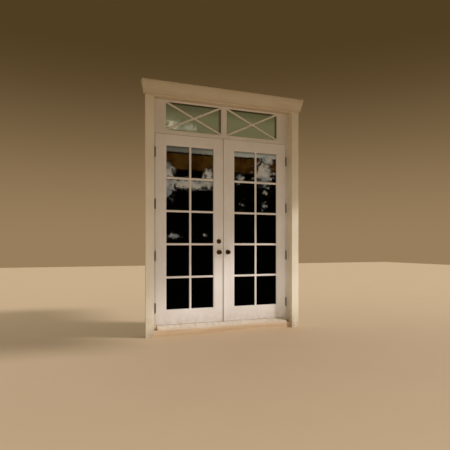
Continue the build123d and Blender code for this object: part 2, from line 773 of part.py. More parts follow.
turn_tip = leaf_thickness + turn_projection
shaft_tip = leaf_thickness + rose_thickness + 2
with BuildPart() as thumb_turn:
    bore((lock_axis, (leaf_thickness + knob_inset + shaft_tip) / 2, bolt_level), turn_shaft_radius,
         shaft_tip - leaf_thickness - knob_inset, along_y, Mode.ADD)
    with BuildSketch(Plane(origin=(lock_axis, shaft_tip - 1, bolt_level), x_dir=(1, 0, 0),
                           z_dir=(0, 1, 0))):
        SlotOverall(turn_length, turn_width, rotation=90)
    extrude(amount=turn_tip - shaft_tip + 1)
    block((lock_axis - tail_thickness / 2, lock_axis + tail_thickness / 2),
          (leaf_middle - case_radius, leaf_thickness + knob_inset),
          (bolt_level - tail_width / 2, bolt_level + tail_width / 2))
keep(thumb_turn, "thumb_turn")

# Astragal on the passive leaf, pocketed for the strikes, the bolts and their finger tabs
latch_pocket = latch_throw - meeting_offset + strike_clearance
strikes = {lock_height: (latch_width, latch_pocket), bolt_level: (deadbolt_width, meeting_offset)}
shoot_bore = shoot_bolt_radius + shoot_bolt_clearance
shoot_ends = {"top": (leaf_top, 1), "bottom": (leaf_bottom, -1)}
tab_slot = shoot_tab_height + shoot_bolt_throw + 2 * shoot_bolt_clearance


def strike_window(level, width, reach):
    """Opening for a bolt, from the astragal's face to the depth given."""
    block((astragal_face, reach),
          (leaf_middle - width / 2 - strike_clearance, leaf_middle + width / 2 + strike_clearance),
          (level - bolt_height / 2 - strike_clearance, level + bolt_height / 2 + strike_clearance),
          Mode.SUBTRACT)


with BuildPart() as astragal:
    with BuildSketch(Plane.XY.offset(leaf_bottom)):
        with BuildLine():
            Polyline((astragal_face, -astragal_cap_projection),
                     (astragal_face + astragal_cap_width, -astragal_cap_projection),
                     (astragal_face + astragal_cap_width, 0), (meeting_offset, 0),
                     (meeting_offset, leaf_thickness), (astragal_face, leaf_thickness), close=True)
        make_face()
    extrude(amount=leaf_height)
    cap_edges = astragal.edges().filter_by(Axis.Z).group_by(Axis.Y)[0]
    fillet(cap_edges, radius=astragal_ease)
    for level, (width, reach) in strikes.items():
        strike_window(level, width, reach)
        block((astragal_face, astragal_face + strike_thickness),
              (leaf_middle - faceplate_width / 2, leaf_middle + faceplate_width / 2),
              (level - faceplate_height / 2, level + faceplate_height / 2), Mode.SUBTRACT)
    for end, way in shoot_ends.values():
        depth = shoot_bolt_length + shoot_bolt_clearance
        bore((astragal_middle, leaf_middle, end - way * depth / 2), shoot_bore, depth, upright)
        slot_low = end - way * (shoot_tab_offset + shoot_tab_height / 2 + shoot_bolt_clearance)
        block((astragal_face, astragal_middle),
              (leaf_middle - shoot_tab_width / 2 - shoot_bolt_clearance,
               leaf_middle + shoot_tab_width / 2 + shoot_bolt_clearance),
              (slot_low, slot_low + way * tab_slot), Mode.SUBTRACT)
keep(astragal, "astragal")

with BuildPart() as strike_plates:
    for level, (width, reach) in strikes.items():
        block((astragal_face, astragal_face + strike_thickness),
              (leaf_middle - faceplate_width / 2, leaf_middle + faceplate_width / 2),
              (level - faceplate_height / 2, level + faceplate_height / 2))
        strike_window(level, width, reach)
keep(strike_plates, "strike_plates")

for name, (end, way) in shoot_ends.items():
    with BuildPart() as shoot_bolt:
        bore((astragal_middle, leaf_middle, end - way * shoot_bolt_length / 2), shoot_bolt_radius,
             shoot_bolt_length, upright, Mode.ADD)
        tab_level = end - way * shoot_tab_offset
        block((astragal_face + shoot_bolt_clearance, astragal_middle),
              (leaf_middle - shoot_tab_width / 2, leaf_middle + shoot_tab_width / 2),
              (tab_level - shoot_tab_height / 2, tab_level + shoot_tab_height / 2))
    keep(shoot_bolt, f"{name}_shoot_bolt")
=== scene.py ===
# %% [markdown]
# A pair of glazed doors, dressed in Blender.
# The wooden boards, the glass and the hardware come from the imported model, at their real size.
# This lesson gives each of them its finish, adds the small turned and countersunk pieces that
# a joiner would look for, and sets up the light and the camera. All lengths are in metres.

# %% Load the frame
import math

import bpy
from mathutils import Matrix, Vector


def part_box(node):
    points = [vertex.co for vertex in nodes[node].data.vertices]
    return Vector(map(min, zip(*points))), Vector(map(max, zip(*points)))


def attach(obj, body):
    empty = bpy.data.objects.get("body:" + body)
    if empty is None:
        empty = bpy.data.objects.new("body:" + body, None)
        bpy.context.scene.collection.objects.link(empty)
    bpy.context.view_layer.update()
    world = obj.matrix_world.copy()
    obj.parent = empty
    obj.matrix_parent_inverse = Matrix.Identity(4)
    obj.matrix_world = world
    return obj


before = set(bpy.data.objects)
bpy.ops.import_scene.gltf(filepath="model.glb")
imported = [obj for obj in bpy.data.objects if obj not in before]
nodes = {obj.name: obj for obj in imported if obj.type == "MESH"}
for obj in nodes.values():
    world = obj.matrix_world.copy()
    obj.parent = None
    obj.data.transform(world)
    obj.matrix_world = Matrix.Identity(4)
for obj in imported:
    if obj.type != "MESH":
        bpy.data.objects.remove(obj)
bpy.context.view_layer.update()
bpy.ops.object.select_all(action="DESELECT")

# %% [markdown]
# Materials are built from nodes by code. Two small helpers keep that readable: one adds a node
# with its settings and inputs, the other opens an empty material with a shader in it.

# %% Helpers for node trees
def add_node(tree, kind, settings=None, inputs=None):
    """Adds a node, sets its own settings, then sets or links its inputs by name or number."""
    made = tree.nodes.new(kind)
    for key, value in (settings or {}).items():
        setattr(made, key, value)
    for key, value in (inputs or {}).items():
        if isinstance(value, bpy.types.NodeSocket):
            tree.links.new(value, made.inputs[key])
        else:
            made.inputs[key].default_value = value
    return made


def math_node(tree, operation, first, second=0.0, clamp=False):
    """One step of arithmetic on two sockets or numbers."""
    made = add_node(tree, "ShaderNodeMath", {"operation": operation, "use_clamp": clamp},
                    {0: first, 1: second})
    return made.outputs[0]


def mix_colour(tree, factor, first, second):
    """Blends two colours by a factor."""
    made = add_node(tree, "ShaderNodeMix", {"data_type": "RGBA"}, {0: factor, 6: first, 7: second})
    return made.outputs[2]


def spread(tree, value, low, high, to_low=0.0, to_high=1.0):
    """Stretches a value's range to another, softly and without overshoot."""
    made = add_node(tree, "ShaderNodeMapRange", {"interpolation_type": "SMOOTHSTEP"},
                    {0: value, 1: low, 2: high, 3: to_low, 4: to_high})
    return made.outputs[0]


def object_vector(tree, scale=(1.0, 1.0, 1.0)):
    """Object coordinates in metres, stretched as a pattern needs."""
    place = add_node(tree, "ShaderNodeTexCoord")
    made = add_node(tree, "ShaderNodeMapping", inputs={"Vector": place.outputs["Object"],
                                                       "Scale": scale})
    return made.outputs["Vector"]


def noise(tree, vector, scale, detail=4.0, roughness=0.55):
    """Soft random values from 0 to 1."""
    made = add_node(tree, "ShaderNodeTexNoise",
                    inputs={"Vector": vector, "Scale": scale, "Detail": detail,
                            "Roughness": roughness})
    return made.outputs["Fac"]


def srgb(red, green, blue):
    """A colour given in screen values, as the linear colour that a shader wants."""
    def linear(value):
        value /= 255
        return value / 12.92 if value <= 0.04045 else ((value + 0.055) / 1.055) ** 2.4
    return (linear(red), linear(green), linear(blue), 1.0)


def new_material(name):
    """An empty material with one shader, and the tree to build in."""
    made = bpy.data.materials.new(name)
    made.use_nodes = True
    tree = made.node_tree
    return made, tree, tree.nodes["Principled BSDF"]


def dress(material, *names):
    """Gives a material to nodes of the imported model."""
    for name in names:
        piece = nodes[name]
        if not piece.material_slots:
            piece.data.materials.append(material)
        for holder in piece.material_slots:
            holder.material = material


# %% [markdown]
# Several finishes wear and gather dust in the same way. A shader group holds such an effect once,
# with named sockets, and each material places it with values of its own.

# %% Helpers for node groups
def open_group(name, inputs, outputs):
    """A shader group with named number, vector or colour sockets."""
    kinds = {"value": "NodeSocketFloat", "vector": "NodeSocketVector", "colour": "NodeSocketColor"}
    group = bpy.data.node_groups.new(name, "ShaderNodeTree")
    for label, kind in inputs.items():
        group.interface.new_socket(label, in_out="INPUT", socket_type=kinds[kind])
    for label, kind in outputs.items():
        group.interface.new_socket(label, in_out="OUTPUT", socket_type=kinds[kind])
    entry = group.nodes.new("NodeGroupInput")
    leave = group.nodes.new("NodeGroupOutput")
    return group, entry.outputs, leave.inputs


def place_group(tree, group, **inputs):
    """Puts a group into a material with its own values."""
    named = {key.replace("_", " ").capitalize(): value for key, value in inputs.items()}
    return add_node(tree, "ShaderNodeGroup", {"node_tree": group}, named).outputs


# %% [markdown]
# Real boards have no razor edges. Paint runs thin there and hands rub it, and stone and bronze
# wear there too, so all three share a group that finds edges. Its Bevel node returns a
# softened normal: where it differs from the true one, there is an edge. The group gives that
# softened normal too, which makes sharp corners catch the light as eased ones do.

# %% Group for eased and worn edges
flat_match, edge_match = 0.995, 0.86
edge_group, come, go = open_group(
    "eased and worn edges", {"Radius": "value", "Vector": "vector", "Breakup": "value"},
    {"Wear": "value", "Normal": "vector"})
eased = add_node(edge_group, "ShaderNodeBevel", {"samples": 4}, {"Radius": come["Radius"]})
true_normal = add_node(edge_group, "ShaderNodeNewGeometry").outputs["Normal"]
match = add_node(edge_group, "ShaderNodeVectorMath", {"operation": "DOT_PRODUCT"},
                 {0: eased.outputs["Normal"], 1: true_normal}).outputs["Value"]
edge = spread(edge_group, match, flat_match, edge_match)
flakes = noise(edge_group, come["Vector"], come["Breakup"], 5.0, 0.65)
chips = spread(edge_group, flakes, 0.5, 0.62)
edge_group.links.new(math_node(edge_group, "MULTIPLY", edge, chips), go["Wear"])
edge_group.links.new(eased.outputs["Normal"], go["Normal"])
print("edge group nodes", len(edge_group.nodes))

# %% [markdown]
# Dust settles on whatever faces up, and rain splashes it up from the ground. What faces down
# gets a painted shade in the same brown, darker the more it faces the floor, standing in for the
# shade under a head. The second group reads the direction that a face points in and its height
# over the floor, and breaks both up with noise. The upright part of the direction is 1 on a face
# that looks up and -1 on one that looks down, so two pairs of limits are all it needs.

# %% Group for dust and painted underside shade
ledge_from, ledge_full = 0.35, 0.95
under_from, under_full = -0.12, -0.85
dust_and_shade_group, come, go = open_group(
    "dust, splash and painted underside shade",
    {"Vector": "vector", "Splash height": "value", "Ledge": "value", "Underside": "value"},
    {"Dust and shade": "value"})
height = add_node(dust_and_shade_group, "ShaderNodeSeparateXYZ", inputs={0: come["Vector"]}).outputs["Z"]
low_down = spread(dust_and_shade_group, height, come["Splash height"], 0.0)
facing = add_node(dust_and_shade_group, "ShaderNodeNewGeometry").outputs["Normal"]
upward = add_node(dust_and_shade_group, "ShaderNodeSeparateXYZ", inputs={0: facing}).outputs["Z"]
faces_up = spread(dust_and_shade_group, upward, ledge_from, ledge_full)
ledges = math_node(dust_and_shade_group, "MULTIPLY", faces_up, come["Ledge"])
# Faces that look down are darkened with a painted shade.
faces_down = spread(dust_and_shade_group, upward, under_from, under_full)
shaded_below = math_node(dust_and_shade_group, "MULTIPLY", faces_down, come["Underside"])
cloudy = spread(dust_and_shade_group, noise(dust_and_shade_group, come["Vector"], 14.0, 6.0, 0.62), 0.3, 0.7)
splash = math_node(dust_and_shade_group, "MULTIPLY", low_down, cloudy)
speckled = math_node(dust_and_shade_group, "MULTIPLY", ledges, spread(dust_and_shade_group, cloudy, 0.0, 1.0, 0.6, 1.0))
painted_underside_shade = math_node(dust_and_shade_group, "MULTIPLY", shaded_below, spread(dust_and_shade_group, cloudy, 0.0, 1.0, 0.8, 1.0))
settled = math_node(dust_and_shade_group, "MAXIMUM", splash, speckled)
dust_and_shade_group.links.new(math_node(dust_and_shade_group, "MAXIMUM", settled, painted_underside_shade), go["Dust and shade"])
print("dust group nodes", len(dust_and_shade_group.nodes))

# %% [markdown]
# Brushed paint is never flat. A brush leaves fine ridges along the board, the coat is a little
# thicker in some places than in others, and its gloss varies with it. The noise here is
# stretched along the board, so upright boards get upright strokes and level boards level ones.

# %% Group for brushed paint
paint_group, come, go = open_group(
    "brushed paint", {"Strokes": "vector", "Place": "vector", "Fresh": "colour", "Aged": "colour"},
    {"Colour": "colour", "Roughness": "value", "Height": "value"})
fine = noise(paint_group, come["Strokes"], 1.0, 5.0, 0.6)
broad = noise(paint_group, come["Strokes"], 0.22, 3.0, 0.5)
ridges = math_node(paint_group, "ADD", math_node(paint_group, "MULTIPLY", fine, 0.65),
                   math_node(paint_group, "MULTIPLY", broad, 0.35))
patchy = noise(paint_group, come["Place"], 2.3, 4.0, 0.55)
blotch = math_node(paint_group, "ADD", math_node(paint_group, "MULTIPLY", patchy, 0.75),
                   math_node(paint_group, "MULTIPLY", broad, 0.25))
yellowed = spread(paint_group, blotch, 0.35, 0.68)
toned = mix_colour(paint_group, yellowed, come["Fresh"], come["Aged"])
paint_group.links.new(toned, go["Colour"])
paint_group.links.new(spread(paint_group, broad, 0.3, 0.7, 0.36, 0.52), go["Roughness"])
paint_group.links.new(ridges, go["Height"])
print("paint group nodes", len(paint_group.nodes))

# %% [markdown]
# One function now makes every painted finish. It stacks the groups in the order that they happen
# on a real board: paint first, then edges rubbed down to the primer, then dust on top. The dust
# layer also carries the painted shade on faces that look down. A brush ridge is under a tenth of
# a millimetre high, and every edge looks eased by 1.4 mm.

# %% Function for a painted finish
strokes_across = 420.0
strokes_along = 16.0
strokes_crossed = 90.0
stroke_scales = {"upright": (strokes_across, strokes_across, strokes_along),
                 "level": (strokes_along, strokes_across, strokes_across),
                 "crossed": (strokes_crossed, strokes_crossed, strokes_crossed)}
stroke_height = 0.00007
edge_radius = 0.0014
chip_scale = 24.0
ledge_dust = 0.55
underside_shade = 1.3
dust_and_shade_share = 0.5
dust_and_shade_colour = srgb(163, 134, 99)
primer = srgb(176, 158, 132)
splash_height = 0.34


def painted(name, run, fresh, aged, worn=0.55):
    """Brushed paint on a board that runs upright, level or both."""
    made, tree, shader = new_material(name)
    place = object_vector(tree)
    paint = place_group(tree, paint_group, strokes=object_vector(tree, stroke_scales[run]),
                        place=place, fresh=fresh, aged=aged)
    edges = place_group(tree, edge_group, radius=edge_radius, vector=place, breakup=chip_scale)
    dust_and_shade = place_group(tree, dust_and_shade_group, vector=place, splash_height=splash_height, ledge=ledge_dust,
                       underside=underside_shade)
    rubbed = mix_colour(tree, math_node(tree, "MULTIPLY", edges["Wear"], worn), paint["Colour"], primer)
    # The dust mask also carries a painted shade on faces that look down, mixed in the same brown.
    dust_and_shade_mix = math_node(tree, "MULTIPLY", dust_and_shade["Dust and shade"], dust_and_shade_share)
    tree.links.new(mix_colour(tree, dust_and_shade_mix, rubbed, dust_and_shade_colour), shader.inputs["Base Color"])
    rough = math_node(tree, "ADD", paint["Roughness"], math_node(tree, "MULTIPLY", dust_and_shade_mix, 0.5), True)
    tree.links.new(rough, shader.inputs["Roughness"])
    shader.inputs["Specular IOR Level"].default_value = 0.4
    bump = add_node(tree, "ShaderNodeBump", inputs={"Strength": 0.7, "Distance": stroke_height,
                                                    "Height": paint["Height"],
                                                    "Normal": edges["Normal"]})
    tree.links.new(bump.outputs["Normal"], shader.inputs["Normal"])
    return made


# %% [markdown]
# Three coats are on the doors: a clean one on the leaves, a duller one on the frame and a yellower
# one on the trim. The boards over the head get a browner copy of the trim coat, a painted shade
# that stands in for the shade under a porch. Bars and beads run both ways in one mesh, so their
# strokes have no direction, and they wear less.

# %% Painted finishes
leaf_fresh, leaf_aged = srgb(229, 222, 213), srgb(220, 211, 200)
frame_fresh, frame_aged = srgb(219, 212, 199), srgb(210, 201, 186)
trim_fresh, trim_aged = srgb(229, 218, 195), srgb(220, 208, 183)
# Painted shade: a browner copy of the trim coat for the boards over the head.
head_shaded_fresh, head_shaded_aged = srgb(211, 195, 166), srgb(202, 186, 156)

leaf_upright = painted("leaf paint, upright", "upright", leaf_fresh, leaf_aged)
leaf_level = painted("leaf paint, level", "level", leaf_fresh, leaf_aged)
frame_upright = painted("frame paint, upright", "upright", frame_fresh, frame_aged)
frame_level = painted("frame paint, level", "level", frame_fresh, frame_aged)
trim_upright = painted("trim paint, upright", "upright", trim_fresh, trim_aged)
head_shaded_level = painted("trim paint over the head, with painted shade", "level", head_shaded_fresh, head_shaded_aged)
bar_paint = painted("bar paint", "crossed", leaf_fresh, leaf_aged, worn=0.3)
frame_bars = painted("frame bar paint", "crossed", frame_fresh, frame_aged, worn=0.3)

for side in ("left", "right"):
    dress(leaf_upright, f"{side}_hinge_stile", f"{side}_lock_stile")
    dress(leaf_level, f"{side}_top_rail", f"{side}_bottom_rail")
    dress(bar_paint, f"{side}_outer_bars", f"{side}_inner_bars")
    dress(frame_bars, f"{side}_transom_bars")
    dress(frame_upright, f"{side}_jamb", f"transom_{side}_stile")
    dress(trim_upright, f"{side}_casing", f"{side}_reveal_board")
dress(leaf_upright, "astragal")
dress(frame_upright, "transom_mullion")
dress(frame_level, "head_jamb", "transom_bar", "transom_top_rail")
dress(head_shaded_level, "head_casing", "crown", "head_reveal_board")
dress(frame_bars, "transom_beads")
print("nodes in one painted finish", len(leaf_upright.node_tree.nodes))

# %% [markdown]
# The threshold is painted too, but feet have been at it. The scuffs run in and out of the house,
# so its wear noise is stretched along y, and the coat is darker and duller where people step.

# %% Trodden threshold
tread_fresh, tread_aged = srgb(229, 214, 194), srgb(217, 199, 174)
tread_worn = srgb(150, 118, 84)
tread_ridges = 0.00015
threshold_paint, tree, shader = new_material("threshold paint, trodden")
place = object_vector(tree)
paint = place_group(tree, paint_group, strokes=object_vector(tree, stroke_scales["level"]),
                    place=place, fresh=tread_fresh, aged=tread_aged)
edges = place_group(tree, edge_group, radius=edge_radius, vector=place, breakup=30.0)
footmarks = noise(tree, object_vector(tree, (21.0, 6.0, 24.0)), 1.0, 5.0, 0.58)
scuffs = spread(tree, footmarks, 0.44, 0.74)
facing = add_node(tree, "ShaderNodeNewGeometry").outputs["Normal"]
upward = add_node(tree, "ShaderNodeSeparateXYZ", inputs={0: facing}).outputs["Z"]
trodden = math_node(tree, "MULTIPLY", scuffs, spread(tree, upward, 0.3, 0.9, 0.1, 0.3))
rubbed = math_node(tree, "MAXIMUM", trodden, math_node(tree, "MULTIPLY", edges["Wear"], 0.7))
tree.links.new(mix_colour(tree, rubbed, paint["Colour"], tread_worn), shader.inputs["Base Color"])
tree.links.new(spread(tree, rubbed, 0.0, 1.0, 0.42, 0.72), shader.inputs["Roughness"])
bump = add_node(tree, "ShaderNodeBump", inputs={"Strength": 0.8, "Distance": tread_ridges,
                                                "Height": paint["Height"], "Normal": edges["Normal"]})
tree.links.new(bump.outputs["Normal"], shader.inputs["Normal"])
dress(threshold_paint, "threshold")
print(threshold_paint.name, "nodes", len(tree.nodes))

# %% [markdown]
# The sill is travertine, a stone that is laid down in layers by hot springs. It has soft level
# bands of honey and cream, and small pits that lie along them. Bands are noise stretched along
# the sill. Pits are the middles of Voronoi cells, stretched the same way, and a second noise
# leaves most of them out. They are about a millimetre deep, which a bump can show.

# %% Travertine sill
honey, cream_stone, pit_colour = srgb(211, 178, 141), srgb(221, 196, 162), srgb(136, 106, 74)
stone_ease = 0.002
pit_depth = 0.0012
sill_stone, tree, shader = new_material("travertine")
place = object_vector(tree)
bands = noise(tree, object_vector(tree, (1.6, 5.0, 34.0)), 1.0, 6.0, 0.6)
flow = noise(tree, object_vector(tree, (5.0, 9.0, 60.0)), 1.0, 4.0, 0.6)
layered = math_node(tree, "ADD", math_node(tree, "MULTIPLY", bands, 0.65),
                    math_node(tree, "MULTIPLY", flow, 0.35))
cells = add_node(tree, "ShaderNodeTexVoronoi",
                 inputs={"Vector": object_vector(tree, (45.0, 80.0, 150.0)), "Scale": 1.0,
                         "Randomness": 1.0})
sparse = spread(tree, noise(tree, place, 9.0, 3.0), 0.56, 0.68)
pits = math_node(tree, "MULTIPLY", spread(tree, cells.outputs["Distance"], 0.26, 0.12), sparse)
stone = mix_colour(tree, spread(tree, layered, 0.36, 0.64), honey, cream_stone)
tree.links.new(mix_colour(tree, math_node(tree, "MULTIPLY", pits, 0.8), stone, pit_colour),
               shader.inputs["Base Color"])
tree.links.new(spread(tree, layered, 0.3, 0.7, 0.5, 0.68), shader.inputs["Roughness"])
edges = place_group(tree, edge_group, radius=stone_ease, vector=place, breakup=20.0)
hollow = math_node(tree, "SUBTRACT", math_node(tree, "MULTIPLY", layered, 0.2), pits)
bump = add_node(tree, "ShaderNodeBump", inputs={"Strength": 0.6, "Distance": pit_depth,
                                                "Height": hollow, "Normal": edges["Normal"]})
tree.links.new(bump.outputs["Normal"], shader.inputs["Normal"])
dress(sill_stone, "stone_sill")
print(sill_stone.name, "nodes", len(tree.nodes))

# %% [markdown]
# The hardware is oiled bronze, mottled from nearly black to brown, and bright on the edges that
# hands polish. Metal has no colour of its own apart from its reflection, so the colours here tint
# reflections, and the wear mask lifts them on the edges and lowers their roughness. The hinges
# are the darkest, the knobs are smoother and warmer, and the bolts are rubbed the brightest.

# %% Oiled bronze, for hinges, knobs and bolts
bronze_grain = 0.00005


def bronze(name, dark, warm, bright, rough_low, rough_high, radius, wear):
    """Dark metal with a mottled skin and brighter edges."""
    made, tree, shader = new_material(name)
    place = object_vector(tree)
    edges = place_group(tree, edge_group, radius=radius, vector=place, breakup=90.0)
    skin = noise(tree, place, 38.0, 6.0, 0.6)
    grain = noise(tree, place, 700.0, 3.0, 0.6)
    toned = mix_colour(tree, spread(tree, skin, 0.35, 0.65), dark, warm)
    polished = math_node(tree, "MULTIPLY", edges["Wear"], wear)
    tree.links.new(mix_colour(tree, polished, toned, bright), shader.inputs["Base Color"])
    rough = math_node(tree, "SUBTRACT", spread(tree, skin, 0.3, 0.7, rough_low, rough_high),
                      math_node(tree, "MULTIPLY", polished, 0.12), True)
    tree.links.new(rough, shader.inputs["Roughness"])
    shader.inputs["Metallic"].default_value = 0.9
    bump = add_node(tree, "ShaderNodeBump", inputs={"Strength": 0.35, "Distance": bronze_grain,
                                                    "Height": grain, "Normal": edges["Normal"]})
    tree.links.new(bump.outputs["Normal"], shader.inputs["Normal"])
    return made


hinge_bronze = bronze("hinge bronze", srgb(50, 36, 20), srgb(76, 56, 32), srgb(142, 108, 66),
                      0.34, 0.5, 0.0007, 0.5)
knob_bronze = bronze("knob bronze", srgb(76, 54, 22), srgb(110, 79, 38), srgb(176, 130, 74),
                     0.24, 0.42, 0.0009, 0.7)
bolt_bronze = bronze("bolt bronze", srgb(84, 66, 44), srgb(122, 98, 66), srgb(184, 152, 104),
                     0.26, 0.44, 0.0005, 0.6)
hinge_nodes = ["hinge_pins"] + [f"{side}_{part}_hinge_plates" for side in ("left", "right")
                                for part in ("jamb", "leaf")]
dress(hinge_bronze, *hinge_nodes)
dress(knob_bronze, "knob_roses", "outer_knob", "inner_knob", "outer_dummy_knob", "inner_dummy_knob",
      "deadbolt_cylinder", "deadbolt_inner_plate", "thumb_turn")
dress(bolt_bronze, "latch_case", "deadbolt_case", "latch_bolt", "dead_bolt", "strike_plates",
      "top_shoot_bolt", "bottom_shoot_bolt")
print("bronzes", [made.name for made in (hinge_bronze, knob_bronze, bolt_bronze)])

# %% [markdown]
# The door glass is a sealed double unit. With an unlit room behind it, it reads as nearly black,
# and shows only what it mirrors. So its tint is very dark and its surface very smooth, with a
# slow waviness that bends the reflections as rolled glass does. A faint film of dust on it shows
# as a slightly higher roughness here and there.

# %% Door glass
def glass(name, tint, wave_height, rough_low, rough_high):
    """Tinted glass with slow waves and a faint film."""
    made, tree, shader = new_material(name)
    film = noise(tree, object_vector(tree), 6.0, 5.0, 0.65)
    tree.links.new(spread(tree, film, 0.35, 0.8, rough_low, rough_high), shader.inputs["Roughness"])
    shader.inputs["Base Color"].default_value = tint
    shader.inputs["Transmission Weight"].default_value = 1.0
    shader.inputs["IOR"].default_value = 1.5
    shader.inputs["Coat Weight"].default_value = 0.6
    shader.inputs["Coat Roughness"].default_value = 0.02
    waves = noise(tree, object_vector(tree, (2.2, 2.2, 1.1)), 1.0, 1.0, 0.4)
    bump = add_node(tree, "ShaderNodeBump", inputs={"Strength": 1.0, "Distance": wave_height,
                                                    "Height": waves})
    tree.links.new(bump.outputs["Normal"], shader.inputs["Normal"])
    return made, tree, shader


door_glass, tree, shader = glass("door glass", srgb(20, 18, 14), 0.0012, 0.005, 0.035)
dress(door_glass, "left_glass_panes", "right_glass_panes")
print(door_glass.name, "nodes", len(tree.nodes))

# %% [markdown]
# The transom glass lets an olive light through. Its colour is darker towards the top, a painted
# shade, and a hazy pale patch is painted in the lower corner of the left light, away from the
# middle post, as a painted reflection. The deep rail above and the upright at the right end shade
# a band of each light, and that shade is painted too: there the glass is brown and mirrors less.
# All of this is laid out in metres over the two panes.

# %% Transom glass
olive, reflection_olive, shaded_olive = srgb(152, 148, 112), srgb(184, 184, 152), srgb(112, 108, 74)
shaded_brown = srgb(70, 58, 32)
sight_top, sight_end, middle_end = 2.938, 0.782, -0.042
rail_shade, upright_shade = 0.0336, 0.042
full_before = 0.012
middle_blur = 0.005
mirror_loss = 0.6

transom_glass, tree, shader = glass("transom glass", olive, 0.002, 0.01, 0.06)
transom_low, transom_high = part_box("left_transom_pane")
place = add_node(tree, "ShaderNodeSeparateXYZ", inputs={0: object_vector(tree)}).outputs
# Darker towards the top: a painted shade.
rise = spread(tree, place["Z"], transom_low.z, transom_high.z)
reflection_breakup = noise(tree, object_vector(tree), 4.5, 5.0, 0.6)
corner = math_node(tree, "MULTIPLY", spread(tree, place["X"], transom_high.x, transom_low.x),
                   math_node(tree, "SUBTRACT", 1.0, rise))
# The pale patch is a painted reflection.
painted_reflection = math_node(tree, "MULTIPLY", spread(tree, reflection_breakup, 0.42, 0.62), spread(tree, corner, 0.3, 0.75))
shaded_towards_top = mix_colour(tree, spread(tree, rise, 0.55, 1.0), olive, shaded_olive)
with_painted_reflection = mix_colour(tree, painted_reflection, shaded_towards_top, reflection_olive)
# The bands under the rail and beside the uprights are painted shade.
under_rail = spread(tree, place["Z"], sight_top - rail_shade, sight_top)
right_end = spread(tree, place["X"], sight_end - upright_shade, sight_end - full_before)
left_light = spread(tree, place["X"], middle_blur, -middle_blur)
left_light_end = spread(tree, place["X"], middle_end - upright_shade, middle_end - full_before)
before_post = math_node(tree, "MULTIPLY", left_light_end, left_light)
painted_shade_bands = math_node(tree, "MAXIMUM", under_rail, math_node(tree, "MAXIMUM", right_end, before_post))
tree.links.new(mix_colour(tree, painted_shade_bands, with_painted_reflection, shaded_brown), shader.inputs["Base Color"])
tree.links.new(math_node(tree, "SUBTRACT", 1.0, math_node(tree, "MULTIPLY", painted_shade_bands, mirror_loss)),
               shader.inputs["Coat Weight"])
dress(transom_glass, "left_transom_pane", "right_transom_pane")
print(transom_glass.name, "pane height", round(transom_high.z - transom_low.z, 3))

# %% [markdown]
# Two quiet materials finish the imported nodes: the satin metal spacer between the panes, and the
# ribbed rubber of the seals. The ribs are a slanting wave pattern, 3 mm apart along the seal. It
# only feeds a bump, because a rib stands less than half a millimetre proud.

# %% Spacer and seals
rib_height = 0.0004
spacer_metal, tree, shader = new_material("spacer metal")
streaks = noise(tree, object_vector(tree, (60.0, 60.0, 600.0)), 1.0, 3.0)
tree.links.new(mix_colour(tree, streaks, srgb(118, 112, 102), srgb(146, 140, 130)),
               shader.inputs["Base Color"])
tree.links.new(spread(tree, streaks, 0.3, 0.7, 0.34, 0.5), shader.inputs["Roughness"])
shader.inputs["Metallic"].default_value = 1.0
dress(spacer_metal, "left_glass_spacer", "right_glass_spacer")

seal_rubber, tree, shader = new_material("seal rubber")
bloom = noise(tree, object_vector(tree), 30.0, 4.0)
tree.links.new(mix_colour(tree, bloom, srgb(38, 33, 27), srgb(64, 57, 48)), shader.inputs["Base Color"])
tree.links.new(spread(tree, bloom, 0.3, 0.7, 0.6, 0.8), shader.inputs["Roughness"])
ribs = add_node(tree, "ShaderNodeTexWave", {"bands_direction": "DIAGONAL"},
                {"Vector": object_vector(tree), "Scale": 210.0, "Distortion": 0.0})
bump = add_node(tree, "ShaderNodeBump", inputs={"Strength": 0.5, "Distance": rib_height,
                                                "Height": ribs.outputs["Fac"]})
tree.links.new(bump.outputs["Normal"], shader.inputs["Normal"])
dress(seal_rubber, "frame_seals")
bare = [name for name, piece in nodes.items() if not piece.material_slots]
print("nodes without a material", bare)

# %% [markdown]
# Screws are the first thing a joiner looks for. A countersunk head is modelled once: a short
# cylinder whose rim is rounded by a Bevel modifier, with a cross cut into it by a Boolean one.
# Modifiers keep the sizes readable, and they are applied at once, so the mesh is plain.

# %% Model one screw head
head_radius = 0.0042
head_depth = 0.0008
rim_rounding = 0.00025
cross_width = 0.0009
cross_length = 0.0046


def finish_edit(piece):
    """Applies the object's own place, turn and scale, so that they are in its mesh."""
    bpy.ops.object.select_all(action="DESELECT")
    piece.select_set(True)
    bpy.context.view_layer.objects.active = piece
    bpy.ops.object.transform_apply(location=True, rotation=True, scale=True)


def apply_modifier(piece, kind, **settings):
    """Adds a modifier and applies it."""
    bpy.ops.object.select_all(action="DESELECT")
    piece.select_set(True)
    bpy.context.view_layer.objects.active = piece
    made = piece.modifiers.new(kind.lower(), kind)
    for key, value in settings.items():
        setattr(made, key, value)
    bpy.ops.object.modifier_apply(modifier=made.name)


bpy.ops.object.select_all(action="DESELECT")
bpy.ops.mesh.primitive_cylinder_add(vertices=32, radius=head_radius, depth=head_depth)
screw_head = bpy.context.object
finish_edit(screw_head)
apply_modifier(screw_head, "BEVEL", width=rim_rounding, segments=2, limit_method="ANGLE")
for turn in (0.0, math.pi / 2):
    bpy.ops.mesh.primitive_cube_add(size=1.0, location=(0, 0, head_depth / 2), rotation=(0, 0, turn))
    cutter = bpy.context.object
    cutter.scale = (cross_length, cross_width, head_depth)
    finish_edit(cutter)
    apply_modifier(screw_head, "BOOLEAN", object=cutter, operation="DIFFERENCE", solver="EXACT")
    bpy.data.objects.remove(cutter)
print("screw head faces", len(screw_head.data.polygons))

